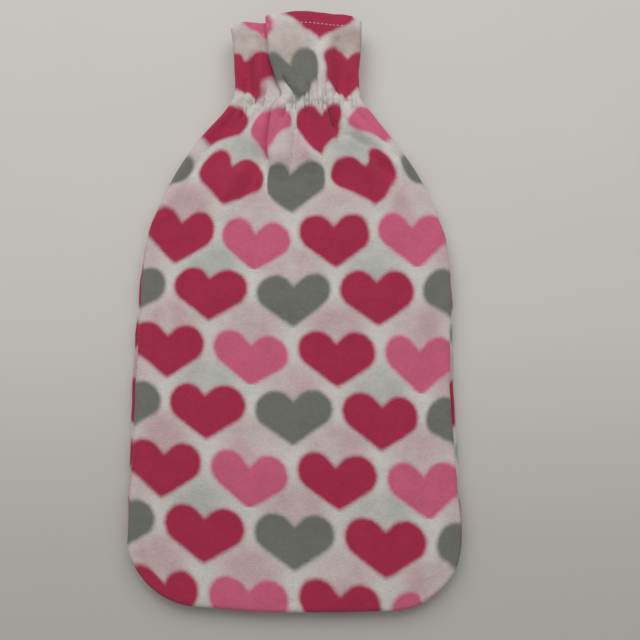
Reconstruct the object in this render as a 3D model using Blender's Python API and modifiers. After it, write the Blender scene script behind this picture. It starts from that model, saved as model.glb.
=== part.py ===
"""Hot water bottle cover: an empty fleece pouch lying on its back.

Two panels of polar fleece are cut alike from frill to bottom, sewn right
sides together down both sides and across the bottom, and turned out, so that
both seam allowances lie inside. A hidden elastic draws in the neck, and the
cloth above it stands out as a frill with a turned hem and one deep pleat.

The pouch lies along Y with the frill at +Y and the front panel up. The origin
is on the resting plane, at the middle of the length.
"""

import math
from bisect import bisect_right
from collections import namedtuple

import bmesh
import bpy

MM = 0.001

# Driving sizes, in millimetres.
LENGTH = 383.0  # bottom seam to the top of the frill
NECK = 323.0  # bottom seam to the elastic
CLOTH = 2.4  # one layer of fleece
HEM = 3.4  # the frill's turned and stitched edge, pressed together
HEM_DEPTH = 9.0
SEAM_GAP = 0.3  # between the two allowances
ROLL = 1.6  # radius of the cloth's middle where it rolls round the seam
ROLL_STEPS = 3
ALLOWANCE = 6.0
CORNER = 40.0  # outer radius of the bottom corners
BOTTOM_BOW = 2.5  # how far the bottom edge swells between its corners
BACK_SHOWS = 1.0  # the back panel stands this far past the front at the sides
FRILL_LIFT = 2.0  # how far the back of the frill lifts off the surface

# From the outside of a panel's edge in to where its middle starts to roll.
INSET = ROLL + CLOTH / 2
# Height of a panel's middle above or below the seam line, at the start of its roll.
SEAM_LIFT = SEAM_GAP / 2 + CLOTH / 2 + 2 * ROLL
REST = CLOTH / 2  # the back panel's middle where it lies on the surface

# Sections across the pouch, from the bottom seam to the top of the frill: the
# half width outside, and the heights of the seam, of the front panel's middle
# and of the gathers.
Section = namedtuple("Section", "along half_width seam front gather")
SECTIONS = (
    Section(0, 99.0, 5.8, 9.9, 0.0),
    Section(45, 100.6, 5.8, 9.6, 0.0),
    Section(110, 101.0, 5.8, 9.5, 0.0),
    Section(185, 99.8, 5.8, 9.8, 0.0),
    Section(225, 96.8, 5.9, 10.6, 0.0),
    Section(248, 89.8, 6.2, 11.6, 0.0),
    Section(270, 79.6, 6.8, 13.0, 0.0),
    Section(293, 64.6, 8.0, 14.8, 0.4),
    Section(315, 47.0, 9.6, 16.8, 1.6),
    Section(NECK, 42.0, 10.4, 17.6, 2.0),
    Section(334, 41.0, 10.8, 18.6, 1.4),
    Section(356, 42.0, 11.2, 19.6, 0.6),
    Section(LENGTH, 44.0, 11.6, 20.0, 0.4),
)

# The deep pleat: where it lies across the pouch, and the cloth it takes up.
Pleat = namedtuple("Pleat", "along x taken")
PLEAT = (
    Pleat(0, -12.0, 0.0),
    Pleat(270, -16.5, 0.0),
    Pleat(290, -15.5, 2.5),
    Pleat(306, -13.5, 8.0),
    Pleat(NECK, -11.5, 12.5),
    Pleat(352, -12.5, 13.0),
    Pleat(LENGTH, -15.0, 13.0),
)
PLEAT_FROM = -0.20  # the share of the half width where its columns start and end
PLEAT_TO = -0.10
FULL_TURN = 12.0  # cloth taken up where the pleat first lies right over

# Soft folds of the front: a line from one point to another, its half breadth
# and its height, which is negative for a trough.
Fold = namedtuple("Fold", "x0 along0 x1 along1 breadth height")
FOLDS = (
    Fold(22, 320, 64, 282, 10, 2.2),  # right shoulder ridge, down from the elastic
    Fold(30, 302, 72, 262, 9, -1.8),  # the trough under it
    Fold(-24, 302, -46, 248, 12, 1.8),  # left shoulder ridge
    Fold(-44, 308, -66, 276, 8, -1.2),
    Fold(20, 324, 29, 294, 5, -2.8),  # pucker right of the middle
    Fold(-1, 318, -2, 280, 6, -1.4),
    Fold(27, 328, 27, 364, 6, -2.6),  # fold in the right of the frill
    Fold(-29, 330, -29, 356, 6, -2.0),  # fold in the left of the frill
    Fold(-62, 186, 60, 190, 18, 1.0),  # low ridge across the middle
    Fold(84, 60, 82, 150, 9, -0.9),  # troughs inside the side seams
    Fold(-86, 190, -80, 240, 9, -0.9),
    Fold(-30, 160, 40, 156, 14, -0.6),
    Fold(-60, 90, 10, 80, 18, 0.8),
)

FRONT_COLUMNS = (14, 9, 23)  # left of the pleat, in it, right of it
BACK_COLUMNS = 26
FRONT_GATHERS = 10  # ripples across the width at the elastic
BACK_GATHERS = 7
# Rows along the pouch, closer where it curves: up to where, and how many.
FRONT_ROWS = ((20, 5), (44, 2), (190, 5), (300, 8), (345, 6), (LENGTH, 4))
BACK_ROWS = ((20, 4), (44, 2), (190, 4), (300, 6), (345, 4), (LENGTH, 3))


def ease(t):
    """0 below 0, 1 above 1, with a smooth rise between."""
    t = min(max(t, 0.0), 1.0)
    return t * t * (3 - 2 * t)


def bump(t):
    """1 at 0, falling smoothly to 0 at -1 and 1."""
    return ease(1 - abs(t))


def read(rows, column, along):
    """A column of a table at a place between its rows, on a curve that never overshoots."""
    places = [row.along for row in rows]
    values = [getattr(row, column) for row in rows]
    steps = [b - a for a, b in zip(places, places[1:])]
    rises = [(b - a) / step for a, b, step in zip(values, values[1:], steps)]
    slopes = [rises[0]]
    for before, after in zip(rises, rises[1:]):
        slopes.append(2 * before * after / (before + after) if before * after > 0 else 0.0)
    slopes.append(rises[-1])
    k = min(max(bisect_right(places, along) - 1, 0), len(steps) - 1)
    t = min(max((along - places[k]) / steps[k], 0.0), 1.0)
    return (
        values[k] * (1 + 2 * t) * (1 - t) ** 2
        + slopes[k] * steps[k] * t * (1 - t) ** 2
        + values[k + 1] * t * t * (3 - 2 * t)
        + slopes[k + 1] * steps[k] * t * t * (t - 1)
    )


def section(along):
    """The section table's values at any distance from the bottom."""
    return Section(along, *(read(SECTIONS, name, along) for name in Section._fields[1:]))


def rows_of(bands):
    """Distances from the bottom of a panel's rows."""
    found = [INSET]
    for end, count in bands:
        start = found[-1]
        found += [start + (end - start) * (n + 1) / count for n in range(count)]
    return found


def columns_of(counts):
    """Shares of the half width of the front panel's columns, closest in the pleat."""
    found = [-1.0]
    for end, count in zip((PLEAT_FROM, PLEAT_TO, 1.0), counts):
        start = found[-1]
        found += [start + (end - start) * (n + 1) / count for n in range(count)]
    return found


def pleat_path(along, half_width, t):
    """Run and rise from the start of the pleat to share t of its cloth.

    The cloth turns up and back over itself through one roll, then forward again
    through another. Where the pleat takes up less cloth it turns less.
    """
    taken = read(PLEAT, "taken", along)
    cloth = (PLEAT_TO - PLEAT_FROM) * half_width + taken
    turn = math.pi * ease(taken / FULL_TURN) ** 0.75
    steps = 60
    run = rise = 0.0
    for n in range(round(steps * t)):
        place = (n + 0.5) / steps
        heading = turn * min(ease(place / 0.42), ease((1 - place) / 0.42))
        run += math.cos(heading) * cloth / steps
        rise += math.sin(heading) * cloth / steps
    return run, rise


def across(share, along, half_width):
    """Place across the front panel, and the step in its height that the pleat makes."""
    middle = read(PLEAT, "x", along)
    run, rise = pleat_path(along, half_width, 1.0)
    natural = half_width * (PLEAT_FROM + PLEAT_TO) / 2
    lean = ease(rise / 3)
    start = middle * lean + natural * (1 - lean) - run / 2
    if share <= PLEAT_FROM:
        reach = (share + 1) / (PLEAT_FROM + 1)
        return -half_width + (start + half_width) * reach, -rise / 2 * ease(reach)
    if share >= PLEAT_TO:
        reach = (1 - share) / (1 - PLEAT_TO)
        return half_width - (half_width - start - run) * reach, rise / 2 * ease(reach)
    here, height = pleat_path(along, half_width, (share - PLEAT_FROM) / (PLEAT_TO - PLEAT_FROM))
    return start + here, height - rise / 2


def round_corner(x, y, half_width):
    """A point of the square-cornered panel moved to the one with round corners.

    Returns the point and its distance from the nearest edge, sides or bottom.
    """
    radius = CORNER - INSET
    out = (abs(x) - half_width) / radius + 1
    down = 1 - (y - INSET) / radius
    if out <= 0 or down <= 0:
        return x, y, min(half_width - abs(x), y - INSET)
    across_disc = out * math.sqrt(1 - down * down / 2)
    down_disc = down * math.sqrt(1 - out * out / 2)
    x = math.copysign(half_width - radius * (1 - across_disc), x)
    y = INSET + radius * (1 - down_disc)
    return x, y, radius * (1 - math.hypot(across_disc, down_disc))


def fold_height(x, along):
    """Sum of the soft folds at a point of the front."""
    total = 0.0
    for fold in FOLDS:
        run_x, run_y = fold.x1 - fold.x0, fold.along1 - fold.along0
        length = math.hypot(run_x, run_y)
        t = ((x - fold.x0) * run_x + (along - fold.along0) * run_y) / length
        off = ((x - fold.x0) * run_y - (along - fold.along0) * run_x) / length
        past = max(-t, t - length, 0.0)
        total += fold.height * bump(off / fold.breadth) * bump(past / fold.breadth)
    return total


def bowed(x, y, half_width):
    """Distance from the bottom with the bottom edge's swell."""
    return y + BOTTOM_BOW * (x / half_width) ** 2 * (1 - ease(y / 60))


def front_point(share, along):
    """A point of the front panel's middle surface."""
    here = section(along)
    half_width = here.half_width - INSET
    x, step = across(share, along, half_width)
    x, y, inside = round_corner(x, along, half_width)
    edge = here.seam + SEAM_LIFT
    rounded = ease(inside / min(40.0, half_width))
    pleat_clear = 1 - bump((share - (PLEAT_FROM + PLEAT_TO) / 2) / 0.12)
    ripple = here.gather * math.cos(FRONT_GATHERS * math.pi * share + 0.8) * pleat_clear
    z = edge + (here.front - edge) * rounded + step
    z += ripple * ease(inside / 8)
    z += fold_height(x, y) * ease(inside / 10)
    left = 1 - ease((share - PLEAT_FROM) / (PLEAT_TO - PLEAT_FROM))
    drop = 5.0 * left + 4.0 * ease((abs(share) - 0.8) / 0.2)
    y -= drop * ease((along - 335) / (LENGTH - 335))
    return x, bowed(x, y, half_width), z


def back_point(share, along):
    """A point of the back panel's middle surface, flat on the resting plane under the body."""
    here = section(along)
    half_width = here.half_width - INSET + BACK_SHOWS
    x, y, inside = round_corner(half_width * share, along, half_width)
    edge = here.seam - SEAM_LIFT
    ripple = here.gather * (1 - math.cos(BACK_GATHERS * math.pi * share)) / 2
    z = REST + (max(edge, REST) - REST) * (1 - ease(inside / 16))
    z += ripple * ease(inside / 8)
    z += FRILL_LIFT * ease((along - NECK) / (LENGTH - NECK)) * ease(inside / 16)
    return x, bowed(x, y, half_width), z


def outward(before, after):
    """Direction across the rim, away from the panel, in the plane."""
    run_x, run_y = after[0] - before[0], after[1] - before[1]
    length = math.hypot(run_x, run_y)
    return run_y / length, -run_x / length


def panel_mesh(name, point, columns, rows, up):
    """An open sheet on a grid, with its side and bottom edges rolled round the seam.

    The roll goes up for the back panel and down for the front one.
    """
    bm = bmesh.new()
    start = bm.verts.layers.float_vector.new("start")
    away = bm.verts.layers.float_vector.new("away")
    hem = bm.verts.layers.deform.verify()
    bmesh.ops.create_grid(bm, x_segments=len(columns) - 1, y_segments=len(rows) - 1, size=1)
    grid = {}
    for vert in bm.verts:
        i = round((vert.co.x + 1) / 2 * (len(columns) - 1))
        j = round((vert.co.y + 1) / 2 * (len(rows) - 1))
        grid[i, j] = vert
        vert.co = [value * MM for value in point(columns[i], rows[j])]
        if rows[j] > LENGTH - HEM_DEPTH:
            vert[hem][0] = 1.0
    last = len(columns) - 1
    rim = [grid[0, j] for j in reversed(range(len(rows)))]
    rim += [grid[i, 0] for i in range(1, last)]
    rim += [grid[last, j] for j in range(len(rows))]
    for n, vert in enumerate(rim):
        before, after = rim[max(n - 1, 0)].co, rim[min(n + 1, len(rim) - 1)].co
        out_x, out_y = outward(before, after)
        vert[start] = vert.co
        vert[away] = (out_x, out_y, 0)
    edges = [bm.edges.get((a, b)) for a, b in zip(rim, rim[1:])]
    steps = [
        (ROLL * math.sin(turn), ROLL * (1 - math.cos(turn)))
        for turn in (math.pi * (n + 1) / ROLL_STEPS for n in range(ROLL_STEPS))
    ]
    steps.append((-ALLOWANCE, 2 * ROLL))
    for out, rise in steps:
        made = bmesh.ops.extrude_edge_only(bm, edges=edges)["geom"]
        verts = {item for item in made if isinstance(item, bmesh.types.BMVert)}
        edges = [
            item
            for item in made
            if isinstance(item, bmesh.types.BMEdge) and verts.issuperset(item.verts)
        ]
        for vert in verts:
            vert.co = vert[start] + vert[away] * out * MM
            vert.co.z += up * rise * MM
            vert[hem].clear()
    bmesh.ops.recalc_face_normals(bm, faces=bm.faces)
    mesh = bpy.data.meshes.new(name)
    bm.to_mesh(mesh)
    bm.free()
    mesh.shade_smooth()
    return mesh


def fleece(name, colour):
    """A matt cloth material."""
    material = bpy.data.materials.new(name)
    material.use_nodes = True
    shader = material.node_tree.nodes["Principled BSDF"]
    shader.inputs["Base Color"].default_value = (*colour, 1)
    shader.inputs["Roughness"].default_value = 0.95
    shader.inputs["Metallic"].default_value = 0.0
    return material


def add_panel(collection, name, mesh, material):
    """The panel's object: its sheet is made one layer thick, and the hem is left thicker."""
    panel = bpy.data.objects.new(name, mesh)
    collection.objects.link(panel)
    panel.location.y = -LENGTH / 2 * MM
    mesh.materials.append(material)
    hem = panel.vertex_groups.new(name="hem")
    layer = panel.modifiers.new("one layer", "SOLIDIFY")
    layer.offset = 0
    layer.thickness = HEM * MM
    layer.vertex_group = hem.name
    layer.thickness_vertex_group = CLOTH / HEM
    return panel


def main():
    for old in list(bpy.data.objects):
        bpy.data.objects.remove(old, do_unlink=True)
    cover = bpy.data.collections.new("hot_water_bottle_cover")
    bpy.context.scene.collection.children.link(cover)
    front = panel_mesh("front_panel", front_point, columns_of(FRONT_COLUMNS), rows_of(FRONT_ROWS), -1)
    add_panel(cover, "front_panel", front, fleece("front fleece", (0.80, 0.62, 0.66)))
    shares = [2 * n / BACK_COLUMNS - 1 for n in range(BACK_COLUMNS + 1)]
    back = panel_mesh("back_panel", back_point, shares, rows_of(BACK_ROWS), 1)
    add_panel(cover, "back_panel", back, fleece("back fleece", (0.70, 0.30, 0.40)))


main()
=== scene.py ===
"""Hot water bottle cover in printed polar fleece: the looks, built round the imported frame.

The two CAD panels are replaced by two finer sheets of the same shape: the front
with its gathers, pleat and soft folds, and the back that it is sewn to. The
print is drawn by the material on a map of the flat cloth, so that it bunches
up where the cloth is gathered.
"""

import math
from bisect import bisect_right
from collections import namedtuple

import bpy
from bpy.props import FloatProperty, FloatVectorProperty, PointerProperty
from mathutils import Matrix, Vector, noise


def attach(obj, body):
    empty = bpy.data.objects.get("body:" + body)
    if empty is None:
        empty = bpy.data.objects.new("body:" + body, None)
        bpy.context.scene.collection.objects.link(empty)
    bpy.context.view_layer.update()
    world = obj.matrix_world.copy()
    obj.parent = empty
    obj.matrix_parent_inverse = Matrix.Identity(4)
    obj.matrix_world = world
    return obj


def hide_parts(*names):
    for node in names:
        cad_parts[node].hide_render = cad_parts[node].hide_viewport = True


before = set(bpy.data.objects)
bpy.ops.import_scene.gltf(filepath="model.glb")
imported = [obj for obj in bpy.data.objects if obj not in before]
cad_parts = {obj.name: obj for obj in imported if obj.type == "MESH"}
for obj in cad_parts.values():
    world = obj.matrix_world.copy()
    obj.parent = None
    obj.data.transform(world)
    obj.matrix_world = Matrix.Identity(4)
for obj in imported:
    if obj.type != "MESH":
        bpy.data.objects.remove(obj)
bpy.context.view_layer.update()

bl_info = {
    "name": "Hot Water Bottle Cover",
    "version": (1, 0, 0),
    "blender": (4, 5, 0),
    "location": "3D View > Sidebar > Bottle Cover",
    "description": "Builds a gathered fleece cover with a heart print round its packed frame",
    "category": "Object",
}

MM = 0.001

# Sizes and tables of the pattern, in millimetres, as in the part's own source.
LENGTH = 383.0  # bottom seam to the top of the frill
NECK = 323.0  # bottom seam to the elastic
CLOTH = 2.4  # one layer of fleece
SEAM_GAP = 0.3  # between the two allowances
ROLL = 1.6  # radius of the cloth's middle where it rolls round the seam
ALLOWANCE = 6.0
CORNER = 40.0  # outer radius of the bottom corners
BOTTOM_BOW = 2.5  # how far the bottom edge swells between its corners
BACK_SHOWS = 1.0  # the back panel stands this far past the front at the sides
FRILL_LIFT = 2.0  # how far the back of the frill lifts off the surface
INSET = ROLL + CLOTH / 2  # from the outside of a panel's edge to where its middle starts to roll
SEAM_LIFT = SEAM_GAP / 2 + CLOTH / 2 + 2 * ROLL  # a panel's middle above or below the seam line
REST = CLOTH / 2  # the back panel's middle where it lies on the surface

# Sections across the pouch: half width outside, and the heights of the seam, of
# the front panel's middle and of the gathers.
Section = namedtuple("Section", "along half_width seam front gather")
SECTIONS = (
    Section(0, 99.0, 5.8, 9.9, 0.0),
    Section(45, 100.6, 5.8, 9.6, 0.0),
    Section(110, 101.0, 5.8, 9.5, 0.0),
    Section(185, 99.8, 5.8, 9.8, 0.0),
    Section(225, 96.8, 5.9, 10.6, 0.0),
    Section(248, 89.8, 6.2, 11.6, 0.0),
    Section(270, 79.6, 6.8, 13.0, 0.0),
    Section(293, 64.6, 8.0, 14.8, 0.4),
    Section(315, 47.0, 9.6, 16.8, 1.6),
    Section(NECK, 42.0, 10.4, 17.6, 2.0),
    Section(334, 41.0, 10.8, 18.6, 1.4),
    Section(356, 42.0, 11.2, 19.6, 0.6),
    Section(LENGTH, 44.0, 11.6, 20.0, 0.4),
)

# The deep pleat of the front: where it lies and how much cloth it takes up. It
# is the CAD panel's pleat, with more cloth in it under the elastic.
Pleat = namedtuple("Pleat", "along x taken")
PLEAT = (
    Pleat(0, -15.0, 0.0),
    Pleat(250, -19.5, 0.0),
    Pleat(267, -18.8, 0.8),
    Pleat(278, -17.2, 4.0),
    Pleat(289, -15.2, 8.8),
    Pleat(306, -12.6, 11.0),
    Pleat(314, -11.5, 12.0),
    Pleat(NECK, -5.0, 12.5),
    Pleat(337, -9.4, 13.0),
    Pleat(354, -13.5, 13.0),
    Pleat(LENGTH, -15.5, 13.0),
)
PLEAT_FROM = -0.20  # the columns that run through it, as shares of the half width
PLEAT_TO = -0.10
PLEAT_REACH = 0.12  # share of the half width over which other folds keep clear of it
PLEAT_STEPS = 60
FULL_TURN = 12.0  # cloth taken up where the pleat lies right over
SMALL_PLEATS = 0.75  # a power under 1 makes a small pleat stand up sooner
PLEAT_BEND = 0.42  # share of the pleat's cloth that each of its bends takes
PLEAT_LEANS_FROM = 200  # below here its columns keep their even places
PLEAT_LEANS_OVER = 50

# Soft folds of the front: a line from one point to another, its half breadth
# and its height, which is negative for a trough. The broad ones are in the CAD
# panel too; the narrow creases come after them.
Fold = namedtuple("Fold", "x0 along0 x1 along1 breadth height")
BROAD_FOLDS = (
    Fold(22, 320, 64, 282, 10, 2.2),
    Fold(30, 302, 72, 262, 9, -1.8),
    Fold(-24, 302, -46, 248, 12, 1.8),
    Fold(-44, 308, -66, 276, 8, -1.2),
    Fold(20, 324, 29, 294, 5, -2.8),
    Fold(-1, 318, -2, 280, 6, -1.4),
    Fold(27, 328, 27, 364, 6, -2.6),
    Fold(-29, 330, -29, 356, 6, -2.0),
    Fold(-62, 186, 60, 190, 18, 1.0),
    Fold(84, 60, 82, 150, 9, -0.9),
    Fold(-86, 190, -80, 240, 9, -0.9),
    Fold(-30, 160, 40, 156, 14, -0.6),
    Fold(-60, 90, 10, 80, 18, 0.8),
)
CREASES = (
    Fold(19, 318, 23, 304, 2.4, -1.6),  # the sharp pucker right of the middle
    Fold(23, 304, 27.5, 291, 2.2, -1.1),
    Fold(24, 317, 28, 304, 3.2, 1.0),
    Fold(-8.6, 334, -0.5, 321, 2.2, -1.5),  # slanting crease above the elastic
    Fold(-5, 337, 3, 324, 3.0, 0.9),
    Fold(-6, 317, -9, 307, 1.8, -0.9),
    Fold(0, 316, 0.4, 301, 2.6, -1.0),
    Fold(0.4, 301, -2.8, 276, 4.0, -0.8),
    Fold(25.6, 356, 25.0, 324, 3.8, -1.0),  # right fold of the frill
    Fold(31, 350, 31, 326, 4.0, 0.9),
    Fold(-28.7, 352, -28.6, 326, 3.8, -0.9),  # left fold of the frill
    Fold(-35, 318, -36.5, 311, 1.6, -0.9),
    Fold(33, 312, 31.5, 308, 1.2, -0.7),
    Fold(34, 322, 68, 290, 5, 0.9),  # crest of the right shoulder ridge
    Fold(32, 297, 64, 284, 5, -1.1),
    Fold(46, 277, 53, 250, 5, 0.9),  # bends in the hearts under the shoulders
    Fold(54, 276, 60, 252, 5, -0.9),
    Fold(-32, 279, -45, 257, 5, 0.9),
    Fold(-24, 276, -36, 254, 5, -0.9),
    Fold(13, 337, 14, 324, 1.8, -0.9),
    Fold(7, 331, 8, 322, 1.5, -0.8),
    Fold(19, 333, 19, 322, 1.5, -0.8),
    Fold(-20, 330, -21, 321, 1.6, -0.9),
    Fold(-34, 334, -35, 322, 1.8, -0.8),
    Fold(36, 336, 35, 323, 2.0, -0.9),
    Fold(-18, 284, -19.6, 258, 3.5, -0.9),  # the pleat dying out
)

# Where the flat cloth's print comes to lie: how far from the middle of the flat
# cloth the left edge, the start and end of the pleat and the right edge are, the
# slope of the print's rows in degrees, and how far the gathers lift their ends.
Flat = namedtuple("Flat", "along left pleat_from pleat_to right slope rise")
FLAT = (
    Flat(0, -97.6, -20.7, -11.1, 93.5, 4.6, 0.0),
    Flat(50, -98.0, -20.7, -11.0, 94.2, 4.2, 0.0),
    Flat(85, -99.4, -20.2, -10.2, 97.2, 3.8, 0.0),
    Flat(118, -99.2, -20.0, -10.0, 95.6, 3.4, 0.0),
    Flat(191, -98.0, -19.6, -9.8, 97.4, 1.2, 2.6),
    Flat(227.5, -102.0, -23.6, -14.0, 98.0, 0.0, 3.5),
    Flat(266.5, -93.5, -34.0, -21.0, 88.5, 0.0, 6.0),
    Flat(290, -90.0, -29.5, -20.0, 86.0, 0.0, 4.5),
    Flat(303.5, -85.0, -29.5, -20.5, 81.0, 0.0, 4.0),
    Flat(NECK, -66.0, -33.0, -18.6, 64.0, 0.0, 3.0),
    Flat(334, -65.0, -33.5, -18.8, 63.5, 0.0, 3.0),
    Flat(352, -64.5, -32.5, -14.5, 61.0, 0.0, 2.0),
    Flat(LENGTH, -56.5, -26.0, -3.5, 52.5, 0.0, 0.0),
)
BACK_ASIDE = 26.7  # the back is cut from the same cloth, half a repeat aside
BACK_ALONG = 27.0

# Where the cloth, and the print on it, has slid along or aside in its folds.
Slip = namedtuple("Slip", "x along breadth rise aside")
SLIPS = (
    Slip(26, 6, 30, -2.0, 0.0),
    Slip(74, 6, 18, 0.0, 3.5),
    Slip(-80, 12, 30, -2.5, 0.0),
    Slip(-26, 78, 26, -1.8, 0.0),
    Slip(24, 84, 26, -1.2, -1.2),
    Slip(-56, 125, 28, 1.0, -1.6),
    Slip(0, 122, 26, 1.5, 0.0),
    Slip(-56, 198, 28, 0.8, -1.4),
    Slip(-27, 226, 30, -2.0, 0.0),
    Slip(-5, 264, 32, 0.0, -8.0),
    Slip(60, 276, 22, 4.2, 0.0),
    Slip(45, 279, 9, -2.6, 0.0),
    Slip(-84, 262, 20, 4.0, 0.0),
    Slip(87, 262, 20, 4.5, 0.0),
    Slip(48, 252, 20, 0.0, 3.0),
    Slip(26, 270, 14, 0.0, -6.0),
    Slip(-10, 298, 18, 8.0, 0.0),
    Slip(20, 290, 20, 0.0, -8.0),
    Slip(28, 304, 12, 0.0, -5.0),
    Slip(54, 298, 24, 8.0, 0.0),
    Slip(-24, 300, 14, 1.0, -2.0),
    Slip(-34, 310, 10, 0.0, 2.0),
    Slip(-52, 294, 24, 5.0, 0.0),
    Slip(-27, 345, 22, 5.6, -6.5),
    Slip(-33, 350, 7, -3.0, 0.0),
    Slip(-33, 321, 9, 4.5, 0.0),
    Slip(-20, 334, 15, 1.5, -7.0),
    Slip(-25, 376, 24, 5.0, 1.5),
    Slip(-7, 345, 14, -2.5, -3.5),
    Slip(13, 346, 13, 4.5, 1.5),
    Slip(21, 343, 11, 0.0, 3.0),
    Slip(30, 343, 15, 3.0, 1.5),
    Slip(18, 374, 38, 7.6, 2.5),
    Slip(-4, 378, 14, 0.0, 5.5),
)

FRONT_COLUMNS = (40, 22, 78)  # left of the pleat, in it and right of it
BACK_COLUMNS = 120
ROWS = ((20, 16), (44, 14), (190, 62), (290, 54), (345, 58), (LENGTH - 12, 14), (LENGTH, 12))
ROLL_STEPS = 8
ALLOWANCE_STEPS = 3
TURN_STEPS = 6  # round the hem's folded edge

# The frill's hem: the edge is turned in once and stitched down.
HEM_RADIUS = 0.9
HEM_LAYER = 1.5  # each layer pressed in the hem
HEM_TURNED = 9.0
HEM_STANDS_OUT = HEM_RADIUS + HEM_LAYER / 2
HEM_RISE = 3.0  # over which the cloth thickens into the hem
HEM_BAND = 16.0  # down from the top edge, with the rows that the hem can touch
HEM_FROM_SEAM = 3.5  # the turned layer stops this far short of the side seams
HEM_FADE = 5.0  # over which the hem's thickness fades towards the side seams
TURNED_PRINT = 3.0  # cloth that goes round the folded edge


def ease(t):
    """0 below 0, 1 above 1, with a smooth rise between."""
    t = min(max(t, 0.0), 1.0)
    return t * t * (3 - 2 * t)


def bump(t):
    """1 at 0, falling smoothly to 0 at -1 and 1."""
    return ease(1 - abs(t))


def wander(x, y, z, size):
    """Smooth noise between about -0.5 and 0.5 that changes over the given size."""
    return noise.noise(Vector((x / size, y / size, z)))


Wave = namedtuple("Wave", "height seed size stretch", defaults=(1,))


def wave(kind, x, along):
    """Height of one kind of uneven wave at a place."""
    return kind.height * wander(x, along / kind.stretch, kind.seed, kind.size)


def read(rows, column, along):
    """A column of a table at a place between its rows, on a curve that never overshoots."""
    places = [row.along for row in rows]
    values = [getattr(row, column) for row in rows]
    steps = [b - a for a, b in zip(places, places[1:])]
    rises = [(b - a) / step for a, b, step in zip(values, values[1:], steps)]
    slopes = [rises[0]]
    for before, after in zip(rises, rises[1:]):
        slopes.append(2 * before * after / (before + after) if before * after > 0 else 0.0)
    slopes.append(rises[-1])
    k = min(max(bisect_right(places, along) - 1, 0), len(steps) - 1)
    t = min(max((along - places[k]) / steps[k], 0.0), 1.0)
    return (
        values[k] * (1 + 2 * t) * (1 - t) ** 2
        + slopes[k] * steps[k] * t * (1 - t) ** 2
        + values[k + 1] * t * t * (3 - 2 * t)
        + slopes[k + 1] * steps[k] * t * t * (t - 1)
    )


def pleat_path(along, half_width):
    """Run and rise from the start of the pleat to each step of its cloth."""
    taken = read(PLEAT, "taken", along)
    cloth = (PLEAT_TO - PLEAT_FROM) * half_width + taken
    turn = math.pi * ease(taken / FULL_TURN) ** SMALL_PLEATS
    path = [(0.0, 0.0)]
    for n in range(PLEAT_STEPS):
        place = (n + 0.5) / PLEAT_STEPS
        heading = turn * min(ease(place / PLEAT_BEND), ease((1 - place) / PLEAT_BEND))
        run, rise = path[-1]
        step = cloth / PLEAT_STEPS
        path.append((run + math.cos(heading) * step, rise + math.sin(heading) * step))
    return path


class Row:
    """Everything that is the same across the pouch at one distance from the bottom."""

    def __init__(self, along):
        self.along = along
        read_section = [read(SECTIONS, name, along) for name in Section._fields[1:]]
        self.width, self.seam, self.front, self.gather = read_section
        self.half_width = self.width - INSET
        self.flat = Flat(along, *(read(FLAT, name, along) for name in Flat._fields[1:]))
        self.path = pleat_path(along, self.half_width)
        run, rise = self.path[-1]
        natural = self.half_width * (PLEAT_FROM + PLEAT_TO) / 2
        lean = ease((along - PLEAT_LEANS_FROM) / PLEAT_LEANS_OVER)
        self.start = read(PLEAT, "x", along) * lean + natural * (1 - lean) - run / 2

    def across(self, share):
        """Place across the front, and the step in its height that the pleat makes."""
        run, rise = self.path[-1]
        if share <= PLEAT_FROM:
            reach = (share + 1) / (PLEAT_FROM + 1)
            return -self.half_width + (self.start + self.half_width) * reach, -rise / 2 * ease(reach)
        if share >= PLEAT_TO:
            reach = (1 - share) / (1 - PLEAT_TO)
            return self.half_width - (self.half_width - self.start - run) * reach, rise / 2 * ease(reach)
        place = (share - PLEAT_FROM) / (PLEAT_TO - PLEAT_FROM) * PLEAT_STEPS
        k = min(int(place), PLEAT_STEPS - 1)
        (run_a, rise_a), (run_b, rise_b) = self.path[k], self.path[k + 1]
        t = place - k
        return self.start + run_a + (run_b - run_a) * t, rise_a + (rise_b - rise_a) * t - rise / 2

    def cloth_across(self, share):
        """Place across the flat cloth."""
        flat = self.flat
        if share <= PLEAT_FROM:
            reach = (share + 1) / (PLEAT_FROM + 1)
            return flat.left + (flat.pleat_from - flat.left) * reach
        if share >= PLEAT_TO:
            reach = (1 - share) / (1 - PLEAT_TO)
            return flat.right + (flat.pleat_to - flat.right) * reach
        t = (share - PLEAT_FROM) / (PLEAT_TO - PLEAT_FROM)
        return flat.pleat_from + (flat.pleat_to - flat.pleat_from) * t


def round_corner(x, y, half_width):
    """A point of the square-cornered panel moved to the one with round corners."""
    radius = CORNER - INSET
    out = (abs(x) - half_width) / radius + 1
    down = 1 - (y - INSET) / radius
    if out <= 0 or down <= 0:
        return x, y, min(half_width - abs(x), y - INSET)
    across_disc = out * math.sqrt(1 - down * down / 2)
    down_disc = down * math.sqrt(1 - out * out / 2)
    x = math.copysign(half_width - radius * (1 - across_disc), x)
    y = INSET + radius * (1 - down_disc)
    return x, y, radius * (1 - math.hypot(across_disc, down_disc))


def fold_height(folds, x, along):
    """Sum of the folds at a point of the front."""
    total = 0.0
    for fold in folds:
        run_x, run_y = fold.x1 - fold.x0, fold.along1 - fold.along0
        length = math.hypot(run_x, run_y)
        off = ((x - fold.x0) * run_y - (along - fold.along0) * run_x) / length
        if abs(off) >= fold.breadth:
            continue
        t = ((x - fold.x0) * run_x + (along - fold.along0) * run_y) / length
        past = max(-t, t - length, 0.0)
        total += fold.height * bump(off / fold.breadth) * bump(past / fold.breadth)
    return total


DRAWN_UP = 3.2  # the bottom edge at its left corner
DRAWN_UP_FROM = 5
DRAWN_UP_OVER = 80
BOTTOM_REACH = 60  # how far up the shape of the bottom edge is felt


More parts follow.
